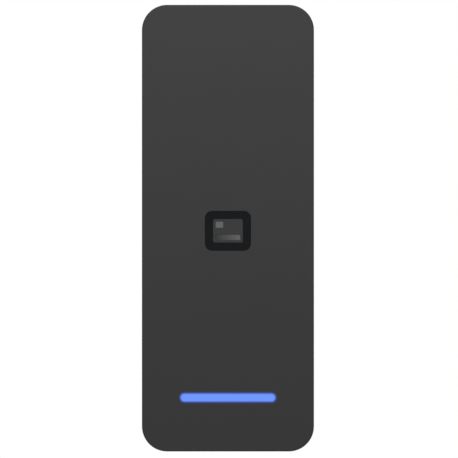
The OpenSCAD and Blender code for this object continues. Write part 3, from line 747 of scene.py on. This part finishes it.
def add_chip_part(bodies, ends, x, z, size, upright, side):
    """A two-ended surface-mount part. Its ends are metal caps; side is -1 on the board's front."""
    length, width, height = size
    half = Vector((width, 0, length)) / 2 if upright else Vector((length, 0, width)) / 2
    along = Vector((0, 0, 1)) if upright else Vector((1, 0, 0))
    cap, inset = length * 0.2, Vector((0, 0.02 * MM, 0))
    base = BOARD_BACK if side > 0 else BOARD_FRONT
    y0, y1 = sorted((base, base + side * height))
    low = Vector((x, y0, z)) - half + along * cap * 0.9
    high = Vector((x, y1, z)) + half - along * cap * 0.9
    add_box(bodies, low + inset * (side > 0), high - inset, 0.03 * MM)
    for end in (-1, 1):
        centre = Vector((x, 0, z)) + along * end * (length / 2 - cap / 2)
        reach = along * cap / 2 + (Vector((half.x, 0, 0)) if upright else Vector((0, 0, half.z)))
        low, high = centre - reach, centre + reach
        low.y, high.y = y0, y1
        add_box(ends, low, high, 0.05 * MM)


def small_parts():
    """Ceramic chips and resistors over both sides of the board, wherever nothing else stands."""
    dice = random.Random(11)
    sizes = ((1.0, 0.5, 0.35), (1.0, 0.5, 0.35), (1.6, 0.8, 0.5), (1.6, 0.8, 0.8), (2.0, 1.25, 0.85))
    pitch_x, pitch_z, gap_x, gap_z = 2.9 * MM, 2.3 * MM, 1.5 * MM, 1.2 * MM
    screws = [(middle("board_screw_%d" % i), 3.8 * MM) for i in (1, 2, 3, 4)]
    screws += [(middle("tray_screw_%d" % i), 5.2 * MM) for i in (3, 4)]
    ceramic, resistor, ends = bmesh.new(), bmesh.new(), bmesh.new()
    low, high = lo_hi("main_board")
    places = [(row, column) for row in range(int((high.z - low.z) / pitch_z))
              for column in range(int((high.x - low.x) / pitch_x))]
    for side in (1, -1):
        taken = taken_places(front=side < 0)
        for row, column in places:
            keep, kind, upright = dice.random(), dice.choice(sizes), dice.random() < 0.35
            dark = dice.random() < 0.45
            x, z = low.x + (column + 0.75) * pitch_x, low.z + (row + 0.75) * pitch_z
            cluster = math.sin(x / (5.3 * MM)) + math.cos(z / (6.7 * MM))
            if keep > 0.50 + 0.20 * cluster:
                continue
            if any(a - gap_x < x < b + gap_x and c - gap_z < z < d + gap_z for a, b, c, d in taken):
                continue
            if any(math.hypot(x - at.x, z - at.z) < reach for at, reach in screws):
                continue
            if side > 0 and not clear_of_frame(x, z):
                continue
            size = [v * MM for v in kind]
            add_chip_part(resistor if dark else ceramic, ends, x, z, size, upright, side)
    piece(ceramic, "board_ceramics", "led_body", "reader")
    piece(resistor, "board_resistors", "chip_black", "reader")
    piece(ends, "board_part_ends", "tin_metal", "reader")


def line_parts():
    """The surge protectors in the cable bay, with their bent legs, and gold test pads."""
    bodies, legs, pads, lines = bmesh.new(), bmesh.new(), bmesh.new(), bmesh.new()
    half_w, half_h, ink = 2.45 * MM, 1.95 * MM, 0.03 * MM
    leg = ((0.85, 1.85), (0.85, 2.25), (0.72, 2.42), (0.24, 2.55), (0.10, 2.72), (0.10, 3.1))
    dot = [(0, 0), (0.25 * MM, 0), (0.25 * MM, ink), (0, ink)]
    for z in (-11 * MM, -19.5 * MM):
        low = (-half_w, BOARD_BACK + 0.12 * MM, z - half_h)
        add_box(bodies, low, (half_w, BOARD_BACK + 1.55 * MM, z + half_h), 0.16 * MM)
        for i in range(4):
            x = (i - 1.5) * 1.27 * MM
            for side in (-1, 1):
                path = [(BOARD_BACK + out * MM, z + side * down * MM) for out, down in leg]
                add_strip(legs, path, x - 0.2 * MM, x + 0.2 * MM, 0.17 * MM)
        for x0 in (-3.0 * MM, 2.8 * MM):
            add_box(lines, (x0, BOARD_BACK, z - 2.2 * MM), (x0 + 0.2 * MM, BOARD_BACK + ink, z + 2.2 * MM))
        add_turned(lines, dot, outward(-3.6 * MM, BOARD_BACK, z + 1.9 * MM), steps=16)

    pad = [(r * MM, up * MM) for r, up in ((0, 0), (0.62, 0), (0.62, 0.03), (0.58, 0.05), (0.30, 0.05),
                                           (0.26, 0.02), (0, 0.02))]
    for column in range(5):
        for row in range(2):
            place = outward((column - 2) * 2.0 * MM, BOARD_BACK, (-26.2 - row * 2.6) * MM)
            add_turned(pads, pad, place, steps=24)
    add_blocks(lines, [x * MM for x in (-5.2, -5.05, 5.05, 5.2)], [BOARD_BACK, BOARD_BACK + ink],
               [z * MM for z in (-30.2, -30.05, -24.85, -24.7)], lambda i, j, k: not i == k == 1)
    piece(bodies, "line_protectors", "chip_black", "reader")
    piece(legs, "line_protector_legs", "tin_metal", "reader")
    piece(pads, "test_pads", "gold_metal", "reader")
    piece(lines, "board_outlines", "white_plastic", "reader")


# ---------------------------------------------------------------- moulded detail on the rear tray
def tray_details():
    """Rims round the cable bay, label and buttons, rings left by ejector pins, and ribs at the sides."""
    bm = bmesh.new()
    add_rim(bm, "bay_gasket", gap=-0.95 * MM, radius=1.0 * MM, line=0.9 * MM, height=0.25 * MM, soft=0.1 * MM)
    add_rim(bm, "blank_label", gap=0.5 * MM, radius=1.4 * MM, line=0.5 * MM, height=0.2 * MM, soft=0.08 * MM)

    def add_ring(x, z, outline, steps):
        profile = [(r * MM, up * MM) for r, up in outline]
        add_turned(bm, profile, outward(x, TRAY_BACK, z), steps=steps, closed=True)
    guard = ((1.75, -0.1), (1.75, 0.15), (1.85, 0.25), (2.35, 0.25), (2.45, 0.15), (2.45, -0.1))
    for name in ("tamper_plunger", "reset_button"):
        add_ring(middle(name).x, middle(name).z, guard, 40)
    ejector = ((1.5, -0.1), (1.5, 0.04), (1.56, 0.08), (1.70, 0.08), (1.76, 0.04), (1.76, -0.1))
    for x in (-13.2, 13.2):
        for z in (-49.0, -16.0, 19.0, 44.0):
            add_ring(x * MM, z * MM, ejector, 32)
    rib_x, half_w = 20.6, 0.4
    for x in (-rib_x, rib_x):
        for z0, z1 in ((-50.0, -34.0), (14.0, 24.5), (35.5, 50.0)):
            low = ((x - half_w) * MM, TRAY_BACK - 0.1 * MM, z0 * MM)
            add_box(bm, low, ((x + half_w) * MM, TRAY_BACK + 0.25 * MM, z1 * MM), 0.12 * MM)
    piece(bm, "tray_mouldings", "tray_plastic", "reader")


for index in range(1, 7):
    cross_screw("tray_screw_%d" % index, crest=1.2 * MM, pitch=1.0 * MM, head=1.7 * MM)
for index in range(1, 5):
    cross_screw("board_screw_%d" % index, crest=0.8 * MM, pitch=0.7 * MM, head=1.3 * MM)
security_screw()
washer()
insert_nut()
jack_shell()
small_parts()
line_parts()
tray_details()


# ---------------------------------------------------------------- stage, light and camera
def floor(radius, z):
    """A pale floor well below the object. It glows enough to fade to white where it meets the sky."""
    mesh = bpy.data.meshes.new("floor")
    bm = bmesh.new()
    bmesh.ops.create_circle(bm, cap_ends=True, radius=radius, segments=96)
    bm.to_mesh(mesh)
    bm.free()
    ground = bpy.data.objects.new("floor", mesh)
    ground.location = (0, 0, z)
    bpy.context.scene.collection.objects.link(ground)
    g = Graph("floor_paint", Roughness=0.7)
    pale = g.shade((0.80, 0.80, 0.79), g.noise(60 * MM, 4.0), 0.02)
    g.put(g.shader, "Base Color", pale)
    g.put(g.shader, "Emission Color", pale)
    g.put(g.shader, "Emission Strength", g.remap(g.length(g.place), 1.0, 5.0, 0.40, 0.85))
    ground.data.materials.append(g.material)


def softbox(name, place, aim, size, watts):
    data = bpy.data.lights.new(name, "AREA")
    data.shape = "RECTANGLE"
    data.size, data.size_y = size
    data.energy = watts
    lamp = bpy.data.objects.new(name, data)
    lamp.location = place
    lamp.rotation_euler = (Vector(aim) - Vector(place)).to_track_quat("-Z", "Y").to_euler()
    bpy.context.scene.collection.objects.link(lamp)


def sky(level, above):
    """White to the camera. As a light it is level at and below the horizon, and above overhead."""
    world = bpy.data.worlds.new("studio")
    bpy.context.scene.world = world
    world.use_nodes = True
    tree = world.node_tree
    seen = tree.nodes["Background"]
    fill = tree.nodes.new("ShaderNodeBackground")
    for background in (seen, fill):
        background.inputs["Color"].default_value = (1, 1, 1, 1)
    seen.inputs["Strength"].default_value = 1.0
    direction = tree.nodes.new("ShaderNodeSeparateXYZ")
    tree.links.new(tree.nodes.new("ShaderNodeTexCoord").outputs["Generated"], direction.inputs[0])
    slope = tree.nodes.new("ShaderNodeMapRange")
    slope.interpolation_type = "SMOOTHSTEP"
    for socket, value in (("From Min", 0.0), ("From Max", 0.9), ("To Min", level), ("To Max", above)):
        slope.inputs[socket].default_value = value
    tree.links.new(direction.outputs["Z"], slope.inputs["Value"])
    tree.links.new(slope.outputs[0], fill.inputs["Strength"])
    path = tree.nodes.new("ShaderNodeLightPath")
    mix = tree.nodes.new("ShaderNodeMixShader")
    tree.links.new(path.outputs["Is Camera Ray"], mix.inputs[0])
    tree.links.new(fill.outputs[0], mix.inputs[1])
    tree.links.new(seen.outputs[0], mix.inputs[2])
    tree.links.new(mix.outputs[0], tree.nodes["World Output"].inputs["Surface"])


def camera():
    """A long lens straight in front of the face, a hair off its middle."""
    lens, sensor, seen_width = 300.0, 36.0, 138.38 * MM
    aside, below = 0.32 * MM, 0.25 * MM
    data = bpy.data.cameras.new("camera")
    data.lens, data.sensor_width = lens, sensor
    data.clip_start, data.clip_end = 0.05, 50.0
    eye = bpy.data.objects.new("camera", data)
    eye.location = (aside, FACE_Y - seen_width * lens / sensor, -below)
    eye.rotation_euler = (math.pi / 2, 0, 0)
    bpy.context.scene.collection.objects.link(eye)
    bpy.context.scene.camera = eye


floor(radius=18.0, z=COVER_LO.z - 1.15)
sky(level=0.245, above=0.60)
softbox("key", place=(0.0, -0.28, 0.27), aim=(0, 0, 0.01), size=(0.30, 0.12), watts=1.76)
softbox("low", place=(0.0, -0.90, -0.70), aim=(0, 0, 0), size=(0.8, 0.4), watts=2.0)
softbox("rear", place=(0.45, 0.75, 0.65), aim=(0, 0, 0), size=(1.0, 1.0), watts=3.0)
camera()
bpy.context.scene.view_settings.view_transform = "Standard"
bpy.context.scene.view_settings.look = "None"
